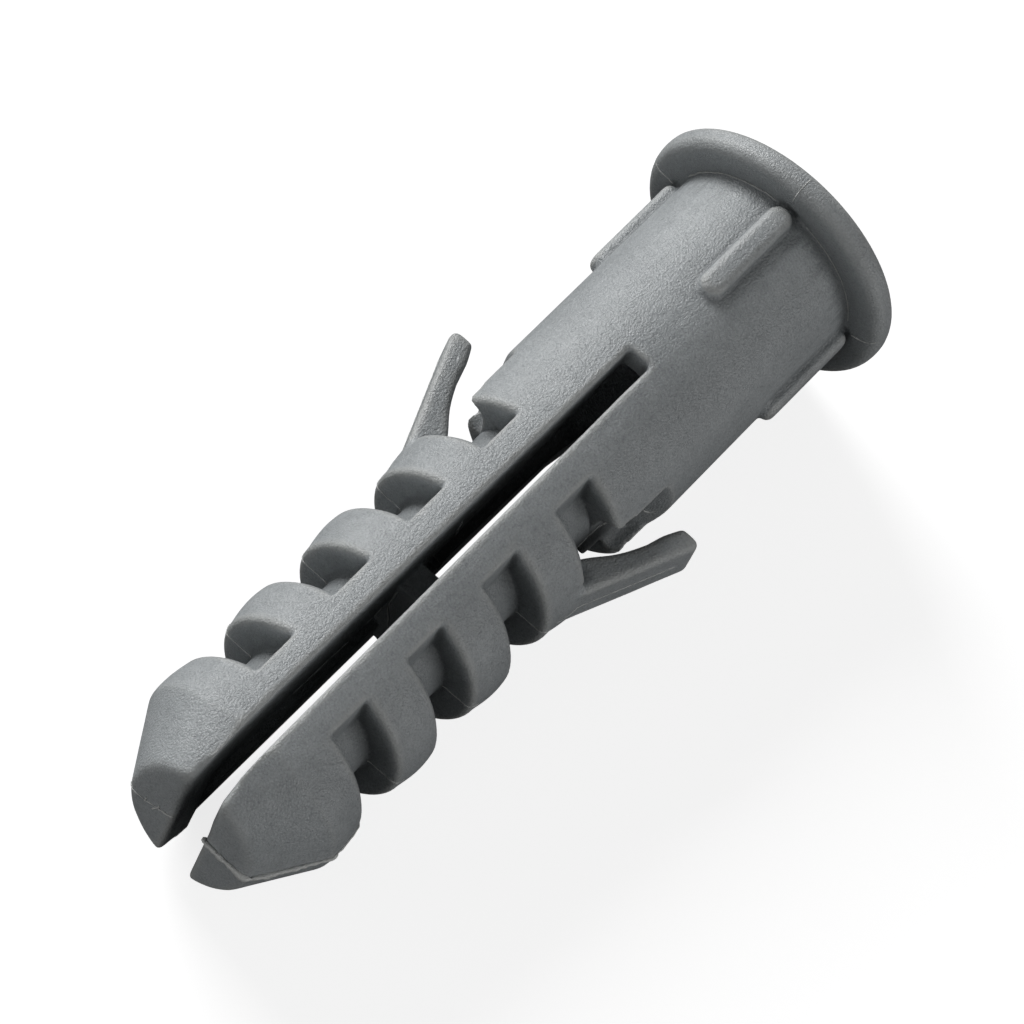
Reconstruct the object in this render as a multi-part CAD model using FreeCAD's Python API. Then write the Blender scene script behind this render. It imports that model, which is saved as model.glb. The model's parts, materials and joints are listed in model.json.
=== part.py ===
"""Wall plug for a 10 mm hole, moulded in one piece in nylon, lying as it comes to rest.

The plug is built upright: X towards the wings, Y through the slot, and Z along the plug from the
outer face of the collar to the tip. At the end it is laid down, with its tip towards +X and the
slot facing up.
"""
import FreeCAD, Part
import math
import os
from FreeCAD import Vector

# Whole plug
overall_length = 41.0
neck_radius = 4.9            # sleeve beside the collar
leg_radius = 4.98            # sleeve and rails at the first notch
spread_radius = 5.08         # legs at the tip, which stand slightly apart

# Collar
collar_radius = 6.7
collar_thickness = 1.25
collar_outer_round = 0.4     # edge of the face that shows outside the wall
collar_seat_round = 0.55     # edge of the face that bears on the wall

# Bore for the screw: wide in the sleeve, narrow between the legs
bore_radius = 3.4
bore_mouth_chamfer = 0.4
sleeve_bore_length = 13.0
channel_start = 18.5
channel_radius = 1.8
channel_end = 35.0
channel_end_radius = 1.2

# Slot that parts the legs
slot_start = 11.8
slot_half_gap = 0.6
tip_half_gap = 0.8
slot_edge_round = 0.2

# Notches and teeth
notch_count = 4
first_notch = 17.7
notch_pitch = 5.08
notch_length = 1.95          # along the floor
core_radius = 3.3
rail_half_width = 2.1        # strip beside the slot that the notches leave
tooth_face_degrees = 77.0    # lean of the face towards the collar
tooth_edge_round = 0.3       # and the width of the bevel on the face towards the collar
tooth_crest = 3.4            # from the start of a notch to the fullest place of its tooth
tooth_swell = 0.17
swell_start = 2.3            # distance from the middle of the slot where the teeth start to swell
far_setback = 1.3            # the sleeve ends sooner beside the far side of each pocket

# Tip, which tapers from round to oval
tip_length = 3.15
tip_start = overall_length - tip_length
tip_half_width = 3.25
tip_half_depth = 4.15

# Short ribs under the collar
rib_count = 4
rib_start = 1.4
rib_length = 5.95
rib_width = 1.25
rib_height = 0.52
rib_round = 0.4

# Wings, one on each leg, from the first tooth towards the collar
wing_root = 21.5
wing_root_reach = 4.85
wing_tip = 14.85
wing_tip_reach = 7.42
wing_tip_thickness = 1.02    # thicknesses are measured square to the plug's axis
wing_thickness = 1.2
wing_foot_thickness = 1.5
wing_width = 2.7
wing_round = 0.3

# Pockets that the wings fold into
pocket_start = 13.7
pocket_ramp_length = 1.5
pocket_start_half_width = 1.9
pocket_end_half_width = 2.25
pocket_floor_radius = 3.65
pocket_floor_round = 0.45

# Web that holds the legs together until the screw bursts it
web_start = 22.9
web_length = 3.5
web_half_depth = 2.7
web_half_width = 2.0         # its sides end inside the legs

reach = 3.0                  # how far a cutter stands out of the plug


def outside_radius(z):
    """Radius of the plain outline at a height above the collar."""
    if z < first_notch:
        share = (z - collar_thickness) / (first_notch - collar_thickness)
        return neck_radius + (leg_radius - neck_radius) * share
    share = (z - first_notch) / (overall_length - first_notch)
    return leg_radius + (spread_radius - leg_radius) * share


def tooth_radius(z):
    """Radius of the swelling teeth, which lies inside the plain outline at each notch."""
    wave = math.cos(2 * math.pi * (z - first_notch - tooth_crest) / notch_pitch)
    return outside_radius(z) + tooth_swell * wave


def half_gap(z):
    """Half the slot's width at a height above its closed end."""
    share = (z - slot_start) / (overall_length - slot_start)
    return slot_half_gap + (tip_half_gap - slot_half_gap) * share


def at(x, z):
    return Vector(x, 0, z)


def outline(steps):
    """Closed face from corners, an arc's middle and end, or the further points of a smooth curve."""
    edges = []
    here = steps[0]
    for step in steps[1:] + steps[:1]:
        if isinstance(step, Vector):
            edges.append(Part.LineSegment(here, step).toShape())
            here = step
        elif len(step) == 2:
            edges.append(Part.Arc(here, step[0], step[1]).toShape())
            here = step[1]
        else:
            curve = Part.BSplineCurve()
            curve.interpolate([here] + list(step))
            edges.append(curve.toShape())
            here = step[-1]
    return Part.Face(Part.Wire(edges))


def arc_to(centre_x, centre_z, radius, middle_degrees, end_degrees):
    """Middle and end of an arc in the XZ plane, for outline()."""
    points = []
    for degrees in (middle_degrees, end_degrees):
        angle = math.radians(degrees)
        points.append(at(centre_x + radius * math.cos(angle), centre_z + radius * math.sin(angle)))
    return tuple(points)


def turned(face):
    return face.revolve(Vector(0, 0, 0), Vector(0, 0, 1), 360)


def collar_and_body():
    """Collar, sleeve and the two legs before they are parted, turned from one outline."""
    outer = collar_outer_round
    seat = collar_seat_round
    steps = [
        at(0, 0),
        at(collar_radius - outer, 0),
        arc_to(collar_radius - outer, outer, outer, -45, 0),
        at(collar_radius, collar_thickness - seat),
        arc_to(collar_radius - seat, collar_thickness - seat, seat, 45, 90),
        at(neck_radius, collar_thickness),
        at(leg_radius, first_notch),
        at(spread_radius, overall_length),
        at(0, overall_length),
    ]
    return turned(outline(steps))


def swelling(side):
    """Barrel shape of the teeth on one leg, which dies out towards the rails."""
    low = first_notch + tooth_crest - notch_pitch / 2
    heights = [low + index * notch_pitch / 2 for index in range(2 * notch_count + 1)]
    line = tuple(at(tooth_radius(z), z) for z in heights)
    barrel = turned(outline([at(0, low), line[0], line[1:], at(0, heights[-1])]))
    plain = math.sqrt(leg_radius ** 2 - swell_start ** 2)
    swollen = math.sqrt((leg_radius + tooth_swell) ** 2 - swell_start ** 2)
    flatten = FreeCAD.Matrix()
    flatten.scale(1, plain / swollen, 1)
    width = spread_radius + reach
    corner = Vector(rail_half_width / 2, -width, 0)
    outer_side = Part.makeBox(width, 2 * width, overall_length, corner)
    teeth = barrel.transformGeometry(flatten).common(outer_side)
    return teeth if side > 0 else mirrored(teeth)


def slot():
    """Wedge between the legs, through the plug in Y."""
    beyond = overall_length + reach
    depth = spread_radius + reach
    corners = [
        Vector(-slot_half_gap, -depth, slot_start),
        Vector(slot_half_gap, -depth, slot_start),
        Vector(half_gap(beyond), -depth, beyond),
        Vector(-half_gap(beyond), -depth, beyond),
    ]
    return Part.Face(Part.makePolygon(corners + corners[:1])).extrude(Vector(0, 2 * depth, 0))


def slot_mouth_edges(body):
    """Edges where the slot breaks through the outside of the plug."""
    found = []
    for edge in body.Edges:
        ends = [vertex.Point for vertex in edge.Vertexes]
        beside = all(abs(abs(p.x) - half_gap(p.z)) < 0.01 for p in ends)
        outside = all(abs(p.y) > core_radius and p.z > slot_start - 0.01 for p in ends)
        if beside and outside and len(ends) == 2:
            found.append(edge)
    return found


def bore():
    """Screw bore: countersunk mouth, wide sleeve, cone, and the channel between the legs."""
    mouth = bore_radius + bore_mouth_chamfer
    steps = [
        at(0, -reach),
        at(mouth, -reach),
        at(mouth, 0),
        at(bore_radius, bore_mouth_chamfer),
        at(bore_radius, sleeve_bore_length),
        at(channel_radius, channel_start),
        at(channel_end_radius, channel_end),
        at(0, channel_end + channel_end_radius),
    ]
    return turned(outline(steps))


def notch(z):
    """Ring that cuts one notch: a square face towards the tip, a floor, and the next tooth's face."""
    edge = tooth_edge_round
    lean = math.radians(tooth_face_degrees)
    radius = outside_radius(z - edge)
    far_foot = z + notch_length
    far_radius = tooth_radius(far_foot + edge)
    bevel_radius = far_radius - edge
    bevel_start = far_foot + (bevel_radius - core_radius) / math.tan(lean)
    steps = [
        at(radius + reach, z - edge),
        at(radius, z - edge),
        arc_to(radius - edge, z - edge, edge, 45, 90),
        at(core_radius, z),
        at(core_radius, far_foot),
        at(bevel_radius, bevel_start),
        at(radius + reach, bevel_start + radius + reach - bevel_radius),
    ]
    return turned(outline(steps))


def beside_rails(side):
    """Space beside the rails on one leg, where the notches may cut."""
    width = spread_radius + reach
    low = first_notch - reach
    box = Part.makeBox(width, 2 * width, overall_length - low, Vector(rail_half_width, -width, low))
    return box if side > 0 else mirrored(box)


def below_pocket(side):
    """Space beside the rail on the far side of one pocket."""
    width = spread_radius + reach
    low = first_notch - reach
    corner = Vector(rail_half_width, -width, low)
    box = Part.makeBox(width, width - pocket_start_half_width, 2 * reach, corner)
    return box if side > 0 else mirrored(box)


def oval(z):
    """Cross-section of the tapering tip, round where the taper starts."""
    share = (z - tip_start) / (overall_length - tip_start)
    widths = FreeCAD.Matrix()
    widths.scale(spread_radius + (tip_half_width - spread_radius) * share,
                 spread_radius + (tip_half_depth - spread_radius) * share, 1)
    return Part.Wire(Part.makeCircle(1, Vector(0, 0, z)).transformGeometry(widths))


def outside_tip():
    """Space around the tapering tip."""
    low = tip_start - reach / 4
    high = overall_length + reach
    taper = Part.makeLoft([oval(low), oval(high)], True, True)
    return Part.makeCylinder(spread_radius + reach, high - low, Vector(0, 0, low)).cut(taper)


def rib():
    """Rounded rib under the collar, on the +X side."""
    half = rib_width / 2
    inside = neck_radius - rib_round
    height = rib_height + rib_round
    low = rib_start + half
    high = rib_start + rib_length - half
    bar = Part.makeBox(height, rib_width, high - low, Vector(inside, -half, low))
    ends = [Part.makeCylinder(half, height, Vector(inside, 0, z), Vector(1, 0, 0)) for z in (low, high)]
    bar = bar.fuse(ends).removeSplitter()
    top = inside + height
    upper = [edge for edge in bar.Edges if all(abs(vertex.X - top) < 0.001 for vertex in edge.Vertexes)]
    return bar.makeFillet(rib_round, upper)


def on_wing(share, depth):
    """Place at a share of the wing's length from its tip, this deep under its outer side."""
    x = wing_tip_reach + (wing_root_reach - wing_tip_reach) * share
    z = wing_tip + (wing_root - wing_tip) * share
    return at(x - depth, z)


def wing():
    """Bar that leaves the first tooth of the +X leg and stands out towards the collar."""
    inner = [on_wing(0, wing_tip_thickness),
             on_wing(0.25, (wing_tip_thickness + wing_thickness) / 2),
             on_wing(0.5, wing_thickness),
             on_wing(0.65, wing_foot_thickness),
             on_wing(0.8, wing_foot_thickness)]
    face = outline([on_wing(1, 0), on_wing(0, 0), inner[0], tuple(inner[1:])])
    face.translate(Vector(0, -wing_width / 2, 0))
    bar = face.extrude(Vector(0, wing_width, 0))
    foot = on_wing(0.65, 0).z
    free = [edge for edge in bar.Edges if edge.CenterOfMass.z < foot]
    return bar.makeFillet(wing_round, free)


def pocket():
    """Recess in the sleeve for the wing of the +X leg, wider towards the tip."""
    floor = pocket_floor_radius
    outside = neck_radius + reach
    low = pocket_start - (outside - leg_radius) * pocket_ramp_length / (leg_radius - floor)
    high = first_notch + tooth_edge_round
    profile = outline([
        at(outside, low),
        at(floor, pocket_start + pocket_ramp_length),
        at(floor, high),
        at(outside, high),
    ])
    profile.translate(Vector(0, -reach, 0))
    start = pocket_start_half_width
    end = pocket_end_half_width
    corners = [Vector(0, y, z) for y, z in [(-start, low), (start, low), (start, pocket_start),
                                            (end, high), (-end, high), (-start, pocket_start)]]
    plan = Part.Face(Part.makePolygon(corners + corners[:1]))
    cutter = profile.extrude(Vector(0, 2 * reach, 0)).common(plan.extrude(Vector(outside, 0, 0)))
    lower = []
    for edge in cutter.Edges:
        middle = edge.CenterOfMass
        if abs(middle.x - floor) < 0.01 and abs(middle.y) > start:
            lower.append(edge)
    return cutter.makeFillet(pocket_floor_round, lower)


def web():
    """Wall across the slot, halfway down the first two teeth."""
    corner = Vector(-web_half_width, -web_half_depth, web_start)
    return Part.makeBox(2 * web_half_width, 2 * web_half_depth, web_length, corner)


def mirrored(shape):
    """The same feature on the other leg."""
    return shape.mirror(Vector(0, 0, 0), Vector(1, 0, 0))


def around(shape, count):
    copies = []
    for index in range(count):
        copy = shape.copy()
        copy.rotate(Vector(0, 0, 0), Vector(0, 0, 1), 360 * index / count)
        copies.append(copy)
    return copies


def upright_plug():
    body = collar_and_body().cut(slot())
    body = body.makeFillet(slot_edge_round, slot_mouth_edges(body))
    body = body.fuse([swelling(1), swelling(-1)])
    rings = [notch(first_notch + index * notch_pitch) for index in range(notch_count)]
    cuts = [ring.common(beside_rails(side)) for ring in rings for side in (1, -1)]
    cuts += [notch(first_notch - far_setback).common(below_pocket(side)) for side in (1, -1)]
    cuts += [pocket(), mirrored(pocket())]
    body = body.cut(cuts)
    body = body.fuse(around(rib(), rib_count) + [wing(), mirrored(wing())])
    body = body.cut([bore(), outside_tip()])
    body = body.fuse(web())
    return body.removeSplitter()


def rest_pitch():
    """Angle in degrees that the axis dips towards the tip, lying on collar and legs."""
    half = half_gap(tip_start) + slot_edge_round
    leg_reach = math.sqrt(outside_radius(tip_start) ** 2 - half ** 2)
    rise = collar_radius - collar_seat_round - leg_reach
    run = tip_start - collar_thickness + collar_seat_round
    return math.degrees(math.atan2(rise, run) + math.asin(collar_seat_round / math.hypot(rise, run)))


def resting_place(shape):
    """Tip towards +X, slot upwards, dipped until collar and legs touch the ground at Z = 0."""
    lay = FreeCAD.Rotation(Vector(1, 1, 1), 120)
    dip = FreeCAD.Rotation(Vector(0, 1, 0), rest_pitch())
    place = FreeCAD.Placement(Vector(0, 0, 0), dip.multiply(lay))
    box = shape.transformed(place.toMatrix()).optimalBoundingBox(False, False)
    place.Base = Vector(-box.Center.x, -box.Center.y, -box.ZMin)
    return place


os.makedirs("parts", exist_ok=True)
standing = upright_plug()
place = resting_place(standing)
plug = standing.transformed(place.toMatrix())
plug.exportStep("parts/wall_plug.step")
box = plug.optimalBoundingBox(False, False)
print("solids", len(plug.Solids), "valid", plug.isValid(), "faces", len(plug.Faces))
print("size", round(box.XLength, 3), round(box.YLength, 3), round(box.ZLength, 3))
print("volume", round(plug.Volume, 3), "pitch", round(rest_pitch(), 3))
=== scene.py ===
"""Grey nylon wall plug lying on a white studio table."""
import json
import math
import bpy
import numpy as np
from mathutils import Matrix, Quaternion, Vector, noise


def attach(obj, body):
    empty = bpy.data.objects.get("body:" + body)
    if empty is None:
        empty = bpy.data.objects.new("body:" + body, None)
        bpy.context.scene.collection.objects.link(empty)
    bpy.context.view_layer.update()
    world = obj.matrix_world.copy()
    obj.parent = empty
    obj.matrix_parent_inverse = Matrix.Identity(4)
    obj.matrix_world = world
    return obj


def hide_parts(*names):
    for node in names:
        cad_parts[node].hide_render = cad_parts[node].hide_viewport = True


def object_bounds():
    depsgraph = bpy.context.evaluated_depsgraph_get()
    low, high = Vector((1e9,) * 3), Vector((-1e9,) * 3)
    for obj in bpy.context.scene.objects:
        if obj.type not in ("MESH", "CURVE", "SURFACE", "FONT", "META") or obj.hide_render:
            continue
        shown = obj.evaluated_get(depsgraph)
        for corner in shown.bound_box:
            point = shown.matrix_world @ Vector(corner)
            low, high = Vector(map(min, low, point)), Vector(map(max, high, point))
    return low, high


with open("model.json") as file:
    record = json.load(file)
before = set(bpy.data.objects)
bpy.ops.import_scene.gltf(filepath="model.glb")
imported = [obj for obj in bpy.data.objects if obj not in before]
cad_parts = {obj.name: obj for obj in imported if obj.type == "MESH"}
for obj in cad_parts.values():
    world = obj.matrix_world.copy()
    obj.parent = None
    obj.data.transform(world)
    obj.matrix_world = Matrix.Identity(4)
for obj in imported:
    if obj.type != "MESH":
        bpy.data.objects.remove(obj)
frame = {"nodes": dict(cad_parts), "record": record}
cad_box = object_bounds()

# The moulding: collar, ribs, sleeve, toothed legs, wings and web, all one shot of grey nylon
# from one mould. It starts as a copy of the solid with its doubles merged.
MM = 0.001
solid = frame["nodes"]["wall_plug"]
bpy.ops.object.select_all(action="DESELECT")
moulding = solid.copy()
moulding.data = solid.data.copy()
moulding.name = "plug_moulding"
moulding.parent = None
for key in list(moulding.keys()):
    del moulding[key]
bpy.context.collection.objects.link(moulding)
moulding.select_set(True)
bpy.context.view_layer.objects.active = moulding
bpy.ops.object.mode_set(mode="EDIT")
bpy.ops.mesh.select_all(action="SELECT")
bpy.ops.mesh.remove_doubles(threshold=0.0005 * MM)
bpy.ops.object.mode_set(mode="OBJECT")

# The plug's own directions, read from the mounts of the screw bore and the collar's face.
# Along runs from the collar to the tip, across towards the right wing, and out through the slot.
# Places on the plug are in mm: u across, v out, and s along from the collar's outer face.
mounts = {mount["name"]: mount for mount in frame["record"]["mounts"]}
to_head = Vector(mounts["screw_bore"]["axis"]).normalized()
bore_middle = Vector(mounts["screw_bore"]["pos_m"])
head_spot = Vector(mounts["head_face"]["pos_m"])
head_centre = bore_middle + to_head * (head_spot - bore_middle).dot(to_head)
along = -to_head
across = Vector((0, 1, 0))
out = along.cross(across)
axes = np.array([across, out, along])


def on_plug(u, v, s):
    """Place in the scene of a point given in mm across, out and along the plug."""
    return head_centre + (across * u + out * v + along * s) * MM


def read_spots():
    """All points of the moulding in mm across, out and along the plug."""
    flat = np.empty(len(moulding.data.vertices) * 3)
    moulding.data.vertices.foreach_get("co", flat)
    return (flat.reshape(-1, 3) - np.array(head_centre)) @ axes.T / MM


def write_spots(spots):
    """Puts the points of the moulding at these places on the plug."""
    flat = spots @ axes * MM + np.array(head_centre)
    moulding.data.vertices.foreach_set("co", flat.ravel())
    moulding.data.update()


def ramp(values, start, end):
    """Rises evenly from 0 at the start to 1 at the end, whichever is larger."""
    return np.clip((values - start) / (end - start), 0.0, 1.0)


# The skin: edges come soft out of the mould, so the surface is laid anew over the solid.
voxel = 0.088 * MM
skin = moulding.modifiers.new("skin", "REMESH")
skin.mode = "VOXEL"
skin.voxel_size = voxel
bpy.ops.object.modifier_apply(modifier=skin.name)

# Draft and wear of the slot: it opens towards its far side, and its right wall leans in a little
# at the near side. The screw's channel runs on shallower to the tip.
far_draft = 0.30
near_lean = 0.13
channel_depth = 0.40
slot_start = 11.9
before_tip = (38.9, 38.3)

spots = read_spots()
u, v, s = spots.T.copy()
by_wall = ramp(np.abs(u), 2.0, 1.0)
in_slot = ramp(s, slot_start, 14.0)
shift = np.sign(u) * far_draft * ramp(-v, 1.4, 4.8) * by_wall * in_slot * ramp(s, *before_tip)
lean = near_lean * (0.3 + 0.7 * ramp(s, 16.0, 36.0))
shift -= lean * ramp(u, 0.0, 0.4) * ramp(v, -0.5, 1.5) * by_wall * in_slot
groove = ramp(np.abs(v), 1.6, 1.25) * ramp(s, 32.5, 34.5) * ramp(s, *before_tip)
shift += np.sign(u) * channel_depth * groove * ramp(np.abs(u), 1.8, 1.1)

# The wings: they thicken inwards to a small head at the end and a stout foot at the leg.
head_swell = 0.16
waist_swell = 0.06
foot_swell = 0.34
wing_end = 14.85
wing_reach = 7.42
wing_slope = 0.3865
wing_lean = math.radians(21.1)
wing_thickness = 1.1

from_end = (s - wing_end) / math.cos(wing_lean)
outer_face = wing_reach - (s - wing_end) * wing_slope
inwards = outer_face - np.abs(u)
on_wing = ramp(inwards, 1.8, 1.6) * ramp(s, 14.0, 14.4) * ramp(s, 21.2, 20.6)
on_wing *= ramp(np.abs(v), 1.8, 1.5)
swell = waist_swell + (head_swell - waist_swell) * ramp(from_end, 1.9, 1.0)
swell += (foot_swell - waist_swell) * ramp(from_end, 2.0, 6.6)
shift -= np.sign(u) * swell * np.clip(inwards / wing_thickness, 0.0, 1.0) * on_wing
spots[:, 0] += shift

# The floor of each wing's pocket runs down smoothly into the core of the first notch.
floor_step = 0.35
from_axis = np.hypot(u, v)
on_floor = ramp(from_axis, 4.3, 3.75) * ramp(from_axis, 2.6, 3.2) * ramp(np.abs(u), 2.4, 2.8)
sink = floor_step * on_floor * ramp(s, 15.0, 17.2) * ramp(s, 18.1, 17.7) * ramp(from_axis, 3.3, 3.6)
spots[:, 0] -= sink * u / from_axis
spots[:, 1] -= sink * v / from_axis

# The web between the legs: light shows through the slot until closer to the tip, so it starts
# later there and is shorter than in the solid.
web_start = 22.9
web_end = 26.4
web_later = 2.5
web_end_later = 0.6
slide = web_later * ramp(s, 20.4, web_start) * ramp(s, 28.6, web_end)
slide -= (web_later - web_end_later) * ramp(s, web_start, web_end) * ramp(s, 28.6, web_end)
slide *= ramp(np.abs(u), 1.9, 1.0) * ramp(np.abs(v), 4.6, 3.4)
spots[:, 2] += slide
write_spots(spots)

# Soft edges: all are eased a little, and the rims of the tip a good deal more.
easing_rounds = 3
ease = moulding.modifiers.new("ease", "SMOOTH")
ease.factor = 0.5
ease.iterations = easing_rounds
bpy.ops.object.modifier_apply(modifier=ease.name)
u, v, s = read_spots().T.copy()
at_tip = ramp(s, 39.6, 40.4) * (0.25 + 0.75 * ramp(v, -0.3, 0.3))
at_pocket = ramp(np.abs(u), 2.7, 2.9) * ramp(s, 15.4, 16.2) * ramp(s, 19.5, 19.0)
at_pocket *= ramp(np.abs(u), 4.2, 4.0) * ramp(np.abs(v), 2.4, 1.9)
at_wing_end = ramp(np.abs(u), 6.3, 6.6)
for name, weights, rounds in (("tip", at_tip, 140), ("pocket", at_pocket, 14),
                              ("wing_end", at_wing_end, 16)):
    group = moulding.vertex_groups.new(name=name)
    for index in np.flatnonzero(weights > 0.02):
        group.add([int(index)], float(weights[index]), "REPLACE")
    ease = moulding.modifiers.new(name, "SMOOTH")
    ease.factor = 0.5
    ease.iterations = rounds
    ease.vertex_group = name
    bpy.ops.object.modifier_apply(modifier=ease.name)

# How sharply the surface bends at each point is kept for the colour, before faces are thinned.
bend_rounds = 10
mesh = moulding.data
pairs = np.empty(len(mesh.edges) * 2, dtype=np.int32)
mesh.edges.foreach_get("vertices", pairs)
pairs = pairs.reshape(-1, 2)
normals = np.empty(len(mesh.vertices) * 3)
mesh.vertices.foreach_get("normal", normals)
normals = normals.reshape(-1, 3) @ axes.T
spots = read_spots()
links = np.zeros(len(spots))
np.add.at(links, pairs.ravel(), 1.0)


def around(values):
    """Average over the neighbours of each point."""
    total = np.zeros_like(values)
    np.add.at(total, pairs[:, 0], values[pairs[:, 1]])
    np.add.at(total, pairs[:, 1], values[pairs[:, 0]])
    return total / (links if values.ndim == 1 else links[:, None])


bend = -((around(spots) - spots) * normals).sum(axis=1) / (voxel / MM) ** 2
for blur in range(bend_rounds):
    bend = (bend + around(bend)) / 2

# Painted shade: the colour is darkened in the creases, and in the cores of the notches, the walls and
# the end of the slot, and the collar's seat. The tip is narrower, so depth is counted from its own
# surface.
crease_rounds = 16
crease_shade = 0.6
core_shade = 0.44
wall_shade = 0.86
seat_shade = 0.6
slot_end_shade = 0.6

painted_shade = np.clip(-bend, 0.0, 1.0)
for blur in range(crease_rounds):
    painted_shade = (painted_shade + around(painted_shade)) / 2
u, v, s = spots.T.copy()
from_axis = np.hypot(u, v)
depth = from_axis + 1.7 * ramp(s, 37.5, 41.0)
past_slot_start = ramp(s, slot_start, 12.6)
on_core = ramp(depth, 4.1, 3.8) * ramp(np.abs(normals[:, 2]), 0.7, 0.4) * past_slot_start
painted_shade = crease_shade * ramp(painted_shade, 0.07, 0.30) * (1.0 - on_core)
deep = ramp(depth, 4.3, 3.4) * past_slot_start * ramp(s, 40.9, 40.6)
painted_shade = np.maximum(painted_shade, deep * (core_shade + (wall_shade - core_shade) * ramp(np.abs(u), 1.3, 1.0)))
on_seat = ramp(normals[:, 2], 0.3, 0.8) * ramp(s, 0.8, 1.1) * ramp(s, 1.6, 1.4)
painted_shade = np.maximum(painted_shade, seat_shade * on_seat * ramp(from_axis, 6.75, 5.4))
on_end = ramp(np.abs(u), 0.95, 0.75) * ramp(s, 11.6, 11.85) * ramp(s, 12.6, 12.2)
painted_shade = np.maximum(painted_shade, slot_end_shade * on_end * ramp(v, 5.2, 4.0))
for name, values in (("bend", bend), ("painted_shade", painted_shade)):
    kept = mesh.attributes.new(name, "FLOAT", "POINT")
    kept.data.foreach_set("value", values.astype(np.float32))

face_limit = 165000
triangles = sum(len(face.vertices) - 2 for face in mesh.polygons)
if triangles > face_limit:
    thin = moulding.modifiers.new("thin", "DECIMATE")
    thin.ratio = face_limit / triangles
    bpy.ops.object.modifier_apply(modifier=thin.name)


# Flash: thin ragged lips of nylon that squeezed out where the parts of the mould met. Each is
# given by its thickness, how far it wanders off its line, and the places on the plug it joins.
def seat_arc(first, last):
    """Places where sleeve and collar meet, between two angles counted from the right wing."""
    turns = [math.radians(turned) for turned in range(first, last, 5)]
    return [(5.0 * math.cos(turn), 5.0 * math.sin(turn), 1.27) for turn in turns]


flash_lines = [
    # Across the end of the right leg, down the side of its tip, and on to the last tooth.
    (0.30, 0.05, [(0.62, 0.02, 41.0), (1.2, 0.19, 41.0), (1.9, 0.17, 41.0), (2.5, 0.15, 41.0),
                  (3.0, 0.05, 40.9), (3.4, 0.02, 40.75), (3.8, 0.0, 40.1)]),
    (0.24, 0.04, [(3.7, 0.0, 40.3), (4.24, 0.0, 39.5), (4.7, 0.0, 38.6)]),
    (0.17, 0.03, [(4.6, 0.0, 38.8), (5.0, 0.0, 37.95), (5.1, 0.0, 37.2)]),
    (0.10, 0.02, [(5.1, 0.0, 37.3), (5.12, 0.0, 36.0), (5.05, 0.0, 35.2)]),
    # The thinner one across the end of the left leg, with two short spurs.
    (0.12, 0.04, [(-0.85, -0.3, 41.0), (-1.3, -0.32, 41.0), (-1.6, -0.45, 41.0)]),
    (0.07, 0.05, [(-1.6, -0.45, 41.0), (-2.3, -0.72, 41.0), (-3.3, -0.8, 40.7)]),
    (0.10, 0.04, [(-1.61, -0.15, 41.0), (-1.7, -0.5, 41.0), (-1.86, -0.85, 41.0)]),
    (0.10, 0.03, [(-2.3, -0.4, 41.0), (-2.36, -0.8, 41.0)]),
    # Over the collar: one above the slot, one at each side, and two arcs at the sleeve.
    (0.05, 0.01, [(0.0, 5.8, 1.25), (0.0, 6.45, 1.25), (0.0, 6.64, 0.9), (0.0, 6.66, 0.3)]),
    (0.07, 0.03, [(-5.3, 0.05, 1.25), (-5.9, 0.12, 1.25), (-6.55, 0.22, 1.2)]),
    (0.07, 0.03, [(5.4, 0.25, 1.25), (6.0, 0.5, 1.25), (6.6, 0.9, 1.2)]),
    (0.07, 0.04, seat_arc(98, 168)),
    (0.05, 0.02, seat_arc(12, 78)),
    # In the right wing's pocket and down into the first notch.
    (0.06, 0.05, [(4.1, -0.5, 14.5), (4.3, -0.75, 14.3), (4.55, -0.62, 14.1)]),
    (0.06, 0.02, [(3.3, 0.0, 19.4), (3.33, 0.0, 17.8), (3.43, 0.0, 17.0), (3.6, 0.0, 16.5)]),
    (0.13, 0.00, [(3.5, 0.0, 16.75), (3.56, 0.0, 16.6), (3.6, 0.0, 16.5)]),
    # Inside the slot: along the screw's channel, and around both ends of the web.
    (0.08, 0.10, [(-0.68, 1.4, 27.6), (-0.68, 1.0, 29.4), (-0.7, 1.5, 30.9),
                  (-0.72, 1.55, 33.0), (-0.74, 1.4, 35.0), (-0.76, 1.5, 36.9), (-0.76, 0.6, 37.9)]),
    (0.10, 0.08, [(-0.68, 2.2, 27.0), (-0.66, 0.6, 27.1), (-0.3, -0.9, 27.05), (0.4, -1.9, 27.05)]),
    (0.08, 0.04, [(-0.65, 3.0, 22.8), (-0.65, 0.5, 22.9), (-0.65, -1.0, 22.8), (-0.8, -3.4, 22.4)]),
    # Along the outer face of each wing.
    (0.05, 0.01, [(-4.3, 0.0, 21.8), (-5.15, 0.0, 20.8), (-6.3, 0.0, 17.78), (-7.0, 0.0, 15.95)]),
    (0.05, 0.01, [(4.3, 0.0, 21.8), (5.15, 0.0, 20.8), (6.3, 0.0, 17.78), (7.0, 0.0, 15.95)]),
]
notch_faces = (22.78, 27.86, 32.94)
for start in notch_faces:
    for side in (1, -1):
        flash_lines.append((0.06, 0.02, [(side * 5.0, 0.0, start - 0.5), (side * 4.8, 0.0, start),
                                         (side * 3.35, 0.0, start + 0.03)]))

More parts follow.
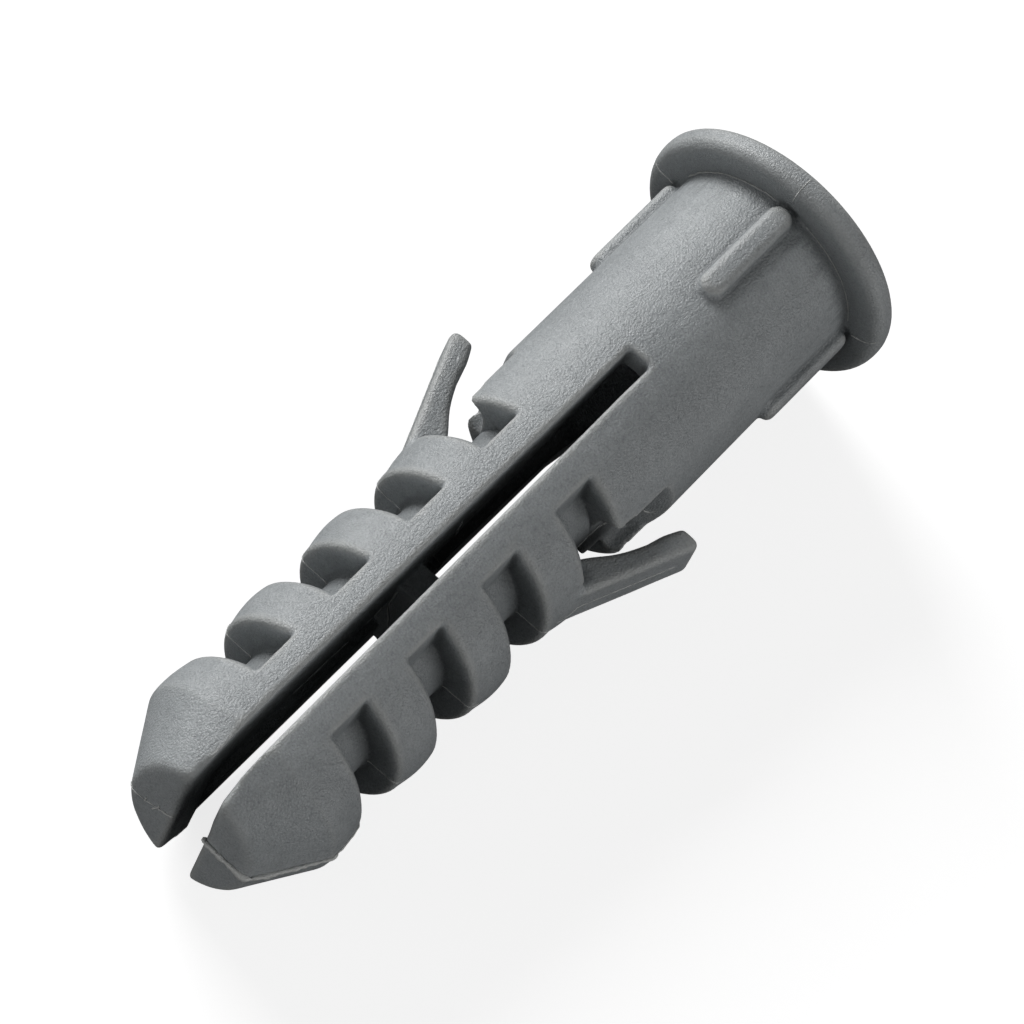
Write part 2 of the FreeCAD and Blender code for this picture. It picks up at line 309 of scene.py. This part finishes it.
# Each line is walked in small steps, swayed by noise, laid on the moulding and made a tube.
flash_step = 0.10
flash_rise = 0.25
sway_pace = 2.3
sway_starts = (0.0, 31.4, 67.9)
swell_pace = 3.7
lips = []
for thickness, wander, knots in flash_lines:
    path = []
    for first, last in zip(knots, knots[1:]):
        gap = Vector(last) - Vector(first)
        steps = max(1, round(gap.length / flash_step))
        path += [Vector(first) + gap * (index / steps) for index in range(steps)]
    path.append(Vector(knots[-1]))
    curve = bpy.data.curves.new("flash", "CURVE")
    curve.dimensions = "3D"
    curve.bevel_depth = thickness / 2 * MM
    curve.bevel_resolution = 1
    curve.use_fill_caps = True
    line = curve.splines.new("POLY")
    line.points.add(len(path) - 1)
    for point, spot in zip(line.points, path):
        sway = Vector([noise.noise(spot * sway_pace + Vector((start, 0, 0))) for start in sway_starts])
        wanted = on_plug(*(spot + sway * wander))
        found, ground, upright, face = moulding.closest_point_on_mesh(wanted)
        point.co = (*(ground + upright * thickness * flash_rise * MM), 1.0)
        point.radius = 0.9 + 0.8 * noise.noise(spot * swell_pace)
    lip = bpy.data.objects.new("flash", curve)
    bpy.context.collection.objects.link(lip)
    lips.append(lip)
bpy.ops.object.select_all(action="DESELECT")
for lip in lips:
    lip.select_set(True)
bpy.context.view_layer.objects.active = lips[0]
bpy.ops.object.convert(target="MESH")
skin_points = len(moulding.data.vertices)
moulding.select_set(True)
bpy.context.view_layer.objects.active = moulding
bpy.ops.object.join()

# The lips carry a bend that no edge reaches, by which the colour knows them. Those in the slot
# and at the collar's seat are darkened with painted shade.
flash_bend = 2.0
slot_lip_shade = 0.65
seat_lip_shade = 0.42
u, v, s = read_spots()[skin_points:].T
in_slot = (np.hypot(u, v) < 4.5) & (np.abs(u) < 1.5) & (s > 12.0) & (s < 38.5)
at_seat = (np.hypot(u, v) < 5.25) & (s < 1.6)
lip_shade = np.where(in_slot, slot_lip_shade, np.where(at_seat, seat_lip_shade, 0.0))
for name, on_lips in (("bend", flash_bend), ("painted_shade", lip_shade)):
    values = np.empty(len(moulding.data.vertices), dtype=np.float32)
    moulding.data.attributes[name].data.foreach_get("value", values)
    values[skin_points:] = on_lips
    moulding.data.attributes[name].data.foreach_set("value", values)

# Nothing stands out of the room that the solid takes.
flat = np.empty(len(moulding.data.vertices) * 3)
moulding.data.vertices.foreach_get("co", flat)
flat = np.clip(flat.reshape(-1, 3), np.array(cad_box[0]), np.array(cad_box[1]))
moulding.data.vertices.foreach_set("co", flat.ravel())
moulding.data.update()
bpy.ops.object.shade_smooth()


class Socket:
    """A shader socket that takes part in Python sums."""

    def __init__(self, tree, socket):
        self.tree = tree
        self.socket = socket

    @staticmethod
    def feed(tree, slot, value):
        """Sets a shader input to a number, a colour or another socket."""
        if isinstance(value, Socket):
            tree.links.new(value.socket, slot)
        elif slot.type == "RGBA":
            slot.default_value = (*value, 1.0)
        else:
            slot.default_value = value

    @staticmethod
    def node(tree, kind, settings, inputs, output=None):
        """Adds a shader node, its settings first and then its inputs, and gives an output."""
        made = tree.nodes.new(kind)
        for name, value in settings.items():
            setattr(made, name, value)
        named = {slot.name: slot for slot in reversed(made.inputs) if slot.enabled}
        for name, value in inputs.items():
            slot = made.inputs[name] if isinstance(name, int) else named[name]
            Socket.feed(tree, slot, value)
        given = [slot for slot in made.outputs if slot.enabled and output in (None, slot.name)]
        return Socket(tree, given[0])

    def sum(self, operation, first, second):
        """Adds a Math node on two numbers or sockets."""
        return self.node(self.tree, "ShaderNodeMath", {"operation": operation}, {0: first, 1: second})

    def __add__(self, other):
        return self.sum("ADD", self, other)

    def __radd__(self, other):
        return self.sum("ADD", other, self)

    def __sub__(self, other):
        return self.sum("SUBTRACT", self, other)

    def __rsub__(self, other):
        return self.sum("SUBTRACT", other, self)

    def __mul__(self, other):
        return self.sum("MULTIPLY", self, other)

    def __rmul__(self, other):
        return self.sum("MULTIPLY", other, self)


# The nylon: mid grey, with the fine leathery grain of an eroded mould, with a painted highlight along
# its edges and on the flash, and painted shade darkening its creases and hollows.
dark_nylon = (0.205, 0.220, 0.230)
pale_nylon = (0.480, 0.505, 0.515)
# The next three colours paint light and shade: a highlight on edges and flash, and shade in hollows.
painted_edge_highlight = (0.50, 0.50, 0.475)
flash_highlight_colour = (0.58, 0.59, 0.575)
painted_shade_colour = (0.09, 0.10, 0.105)
grain_height = 0.028

nylon = bpy.data.materials.new("grey_nylon")
nylon.use_nodes = True
tree = nylon.node_tree
shader = tree.nodes["Principled BSDF"]
place = Socket.node(tree, "ShaderNodeTexCoord", {}, {}, "Object")
in_mm = Socket.node(tree, "ShaderNodeVectorMath", {"operation": "SCALE"},
                    {"Vector": place, "Scale": 1000.0})
cells = Socket.node(tree, "ShaderNodeTexVoronoi", {"feature": "F1"},
                    {"Vector": in_mm, "Scale": 8.8}, "Distance")
grain = Socket.node(tree, "ShaderNodeTexNoise", {},
                    {"Vector": in_mm, "Scale": 11.5, "Detail": 2.0, "Roughness": 0.6,
                     "Distortion": 0.5})
mottle = Socket.node(tree, "ShaderNodeTexNoise", {}, {"Vector": in_mm, "Scale": 1.6, "Detail": 2.0})
cloud = Socket.node(tree, "ShaderNodeTexNoise", {}, {"Vector": in_mm, "Scale": 0.3, "Detail": 1.0})
pebble = (0.5 - cells) * 0.8 + (grain - 0.5) * 1.6
tone = pebble * 0.55 + (mottle - 0.5) * 0.35 + (cloud - 0.5) * 0.3 + 0.5
bends = Socket.node(tree, "ShaderNodeAttribute", {"attribute_name": "bend"}, {}, "Fac")
# Painted highlight: convex edges are mixed towards a paler, warmer grey.
edge_highlight_share = Socket.node(tree, "ShaderNodeMapRange", {"clamp": True},
                      {"Value": bends, "From Min": 0.12, "From Max": 0.55,
                       "To Min": 0.0, "To Max": 0.38})
# Painted highlight: the flash lips are mixed towards a pale grey so they show as bright beads.
on_flash = Socket.node(tree, "ShaderNodeMapRange", {"clamp": True},
                       {"Value": bends, "From Min": 1.4, "From Max": 1.9,
                        "To Min": 0.0, "To Max": 1.0})
# Painted shade: the colour is mixed towards dark grey where the shade attribute is high.
painted_shade_share = Socket.node(tree, "ShaderNodeAttribute", {"attribute_name": "painted_shade"}, {}, "Fac")
colour = dark_nylon
for share, other in ((tone, pale_nylon), (edge_highlight_share, painted_edge_highlight), (on_flash, flash_highlight_colour),
                     (painted_shade_share, painted_shade_colour)):
    colour = Socket.node(tree, "ShaderNodeMix", {"data_type": "RGBA", "clamp_factor": True},
                         {"Factor": share, "A": colour, "B": other})
relief = Socket.node(tree, "ShaderNodeBump", {},
                     {"Height": pebble, "Strength": 1.0, "Distance": grain_height * MM})
Socket.feed(tree, shader.inputs["Base Color"], colour)
Socket.feed(tree, shader.inputs["Roughness"], (grain - 0.5) * 0.3 + 0.40)
Socket.feed(tree, shader.inputs["Normal"], relief)
shader.inputs["IOR"].default_value = 1.53
moulding.data.materials.clear()
moulding.data.materials.append(nylon)
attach(moulding, "root")
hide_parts("wall_plug")

# The table: a white sheet, larger than the picture, that keeps the plug's soft shadow.
# What the camera sees of it is lifted to white, and what lights the plug stays plain.
table_size = 3.0
bpy.ops.object.select_all(action="DESELECT")
bpy.ops.mesh.primitive_plane_add(size=table_size)
table = bpy.context.object
table.name = "table"
paper = bpy.data.materials.new("white_paper")
paper.use_nodes = True
tree = paper.node_tree
shader = tree.nodes["Principled BSDF"]
seen = Socket.node(tree, "ShaderNodeLightPath", {}, {}, "Is Camera Ray")
for name, unseen, shown in (("Base Color", 0.05, 0.42), ("Emission Color", 0.0, 0.80)):
    colour = Socket.node(tree, "ShaderNodeMix", {"data_type": "RGBA"},
                         {"Factor": seen, "A": (unseen,) * 3, "B": (shown,) * 3})
    Socket.feed(tree, shader.inputs[name], colour)
shader.inputs["Emission Strength"].default_value = 1.0
shader.inputs["Roughness"].default_value = 0.9
shader.inputs["Specular IOR Level"].default_value = 0.1
table.data.materials.append(paper)


# Light: a large soft box to the left of the plug, weak ones around it, and an even room.
# Each level is how brightly the lamp alone lights a surface that faces it.
def soft_box(name, direction, distance, size, level):
    """Square lamp that lights a surface facing it at this share of its written colour."""
    bpy.ops.object.light_add(type="AREA")
    lamp = bpy.context.object
    lamp.name = name
    lamp.data.size = size
    lamp.data.energy = level * math.pi ** 2 * distance ** 2
    towards = Vector(direction).normalized()
    lamp.location = towards * distance
    lamp.rotation_mode = "QUATERNION"
    lamp.rotation_quaternion = towards.to_track_quat("Z", "Y")


soft_box("key_light", (-0.28, -0.845, 0.45), distance=0.6, size=0.28, level=0.97)
soft_box("rim_light", (-0.50, -0.86, 0.06), distance=0.6, size=0.30, level=0.20)
soft_box("side_light", (0.70, -0.70, 0.08), distance=0.6, size=0.35, level=0.16)
soft_box("front_light", (1.0, 0.0, 0.12), distance=0.6, size=0.25, level=0.21)
soft_box("fill_light", (-0.22, 0.92, 0.32), distance=0.7, size=0.45, level=0.34)
room_level = 0.08
world = bpy.data.worlds.new("room")
bpy.context.scene.world = world
world.use_nodes = True
world.node_tree.nodes["Background"].inputs["Color"].default_value = (1.0, 1.0, 1.0, 1.0)
world.node_tree.nodes["Background"].inputs["Strength"].default_value = room_level

# Camera, on a long lens over the tip and the slot, turned so that the plug climbs to the right.
# Its place was fitted to the collar's ellipse, the slot, the notches and the tip.
camera_aim = Vector((-1.09, 0.17, 6.0)) * MM
camera_distance = 321.6 * MM
camera_azimuth = math.radians(14.40)
camera_elevation = math.radians(59.11)
camera_roll = math.radians(28.90)
lens_mm = 256.7

backwards = Vector((math.cos(camera_elevation) * math.cos(camera_azimuth),
                    math.cos(camera_elevation) * math.sin(camera_azimuth),
                    math.sin(camera_elevation)))
turn = backwards.to_track_quat("Z", "Y") @ Quaternion((0, 0, 1), camera_roll)
bpy.ops.object.camera_add()
camera = bpy.context.object
camera.rotation_mode = "QUATERNION"
camera.rotation_quaternion = turn
camera.location = camera_aim + backwards * camera_distance
camera.data.lens = lens_mm
camera.data.sensor_width = 36.0
camera.data.clip_start = 0.01
bpy.context.scene.camera = camera

bpy.context.scene.view_settings.view_transform = "Standard"
